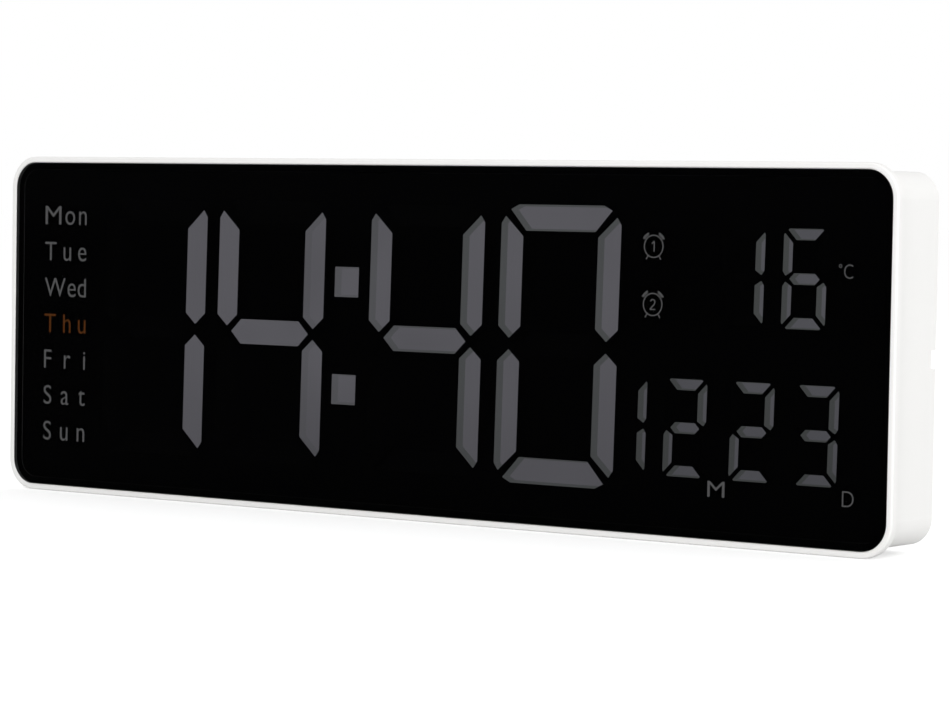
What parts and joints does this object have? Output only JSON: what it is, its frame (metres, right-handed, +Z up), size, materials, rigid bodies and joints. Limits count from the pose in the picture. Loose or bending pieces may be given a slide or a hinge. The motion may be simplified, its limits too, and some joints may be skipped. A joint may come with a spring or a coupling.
{
  "type": "digital day clock",
  "caption": "Wide digital day clock with a black window, white rim, seven-segment time, weekday list, temperature and date, rear keys, keyholes and a folding leg.",
  "frame": {"origin": "middle of the footprint on the table, at the bottom centre of the bounding box", "axes": "+X to the right as seen from the front, -Y out of the window towards the viewer, +Z up"},
  "size_m": [0.395, 0.032, 0.13],
  "materials": {
    "white_case": "satin moulded white",
    "smoked_window": "polished smoked acrylic",
    "black_tape": "adhesive foam tape",
    "black_frame": "matt black",
    "lit_cup": "white cup seen through the smoked window",
    "dark_cup": "unlit cup seen through the smoked window",
    "legend_film": "black printed plate",
    "circuit_board": "green laminate",
    "lamp_chip": "clear resin chip",
    "black_chip": "moulded chip case",
    "steel": "zinc-plated",
    "metal_can": "drawn can",
    "white_cover": "fine-textured white",
    "key_grey": "grey key caps",
    "foot_rubber": "soft"
  },
  "bodies": {
    "case": {"housing": "white_case", "front_panel": "smoked_window", "panel_tape": "black_tape", "light_frame": "black_frame", "time_segments_lit": "lit_cup", "time_segments_dark": "dark_cup", "small_segments_lit": "lit_cup", "small_segments_dark": "dark_cup", "colon_lights": "lit_cup", "legend_plates": "legend_film", "display_board": "circuit_board", "segment_lamps": "lamp_chip", "driver_chips": "black_chip", "board_screws": "steel", "control_board": "circuit_board", "control_screws": "steel", "key_switches": "black_chip", "buzzer": "black_chip", "clock_chip": "black_chip", "timing_crystal": "metal_can", "power_capacitor": "metal_can", "temperature_sensor": "black_chip", "board_header": "black_chip", "dc_jack": "black_chip", "rear_cover": "white_cover", "cover_screws": "steel", "cell_contact": "steel", "coin_cell": "metal_can", "stand_pin": "steel", "rubber_feet": "foot_rubber"},
    "battery_lid": {"battery_door": "white_cover", "battery_door_screw": "steel"},
    "leg": {"stand_leg": "white_cover", "stand_pad": "foot_rubber"},
    "mode_key": {"mode_key": "key_grey"},
    "up_key": {"up_key": "key_grey"},
    "down_key": {"down_key": "key_grey"},
    "alarm_key": {"alarm_key": "key_grey"}
  },
  "joints": [
    {"name": "leg_hinge", "type": "hinge", "parent": "case", "child": "leg", "pos_m": [0, 0.012, 0.057], "axis": [1, 0, 0], "range_deg": [0, 40]},
    {"name": "battery_lid_lift", "type": "slide", "parent": "case", "child": "battery_lid", "axis": [0, 1, 0], "range_m": [0, 0.012]},
    {"name": "mode_key_press", "type": "slide", "parent": "case", "child": "mode_key", "axis": [0, -1, 0], "range_m": [0, 0.0006], "stiffness_N_per_m": 400, "springref_m": -0.0004},
    {"name": "up_key_press", "type": "slide", "parent": "case", "child": "up_key", "axis": [0, -1, 0], "range_m": [0, 0.0006], "stiffness_N_per_m": 400, "springref_m": -0.0004},
    {"name": "down_key_press", "type": "slide", "parent": "case", "child": "down_key", "axis": [0, -1, 0], "range_m": [0, 0.0006], "stiffness_N_per_m": 400, "springref_m": -0.0004},
    {"name": "alarm_key_press", "type": "slide", "parent": "case", "child": "alarm_key", "axis": [0, -1, 0], "range_m": [0, 0.0006], "stiffness_N_per_m": 400, "springref_m": -0.0004}
  ]
}
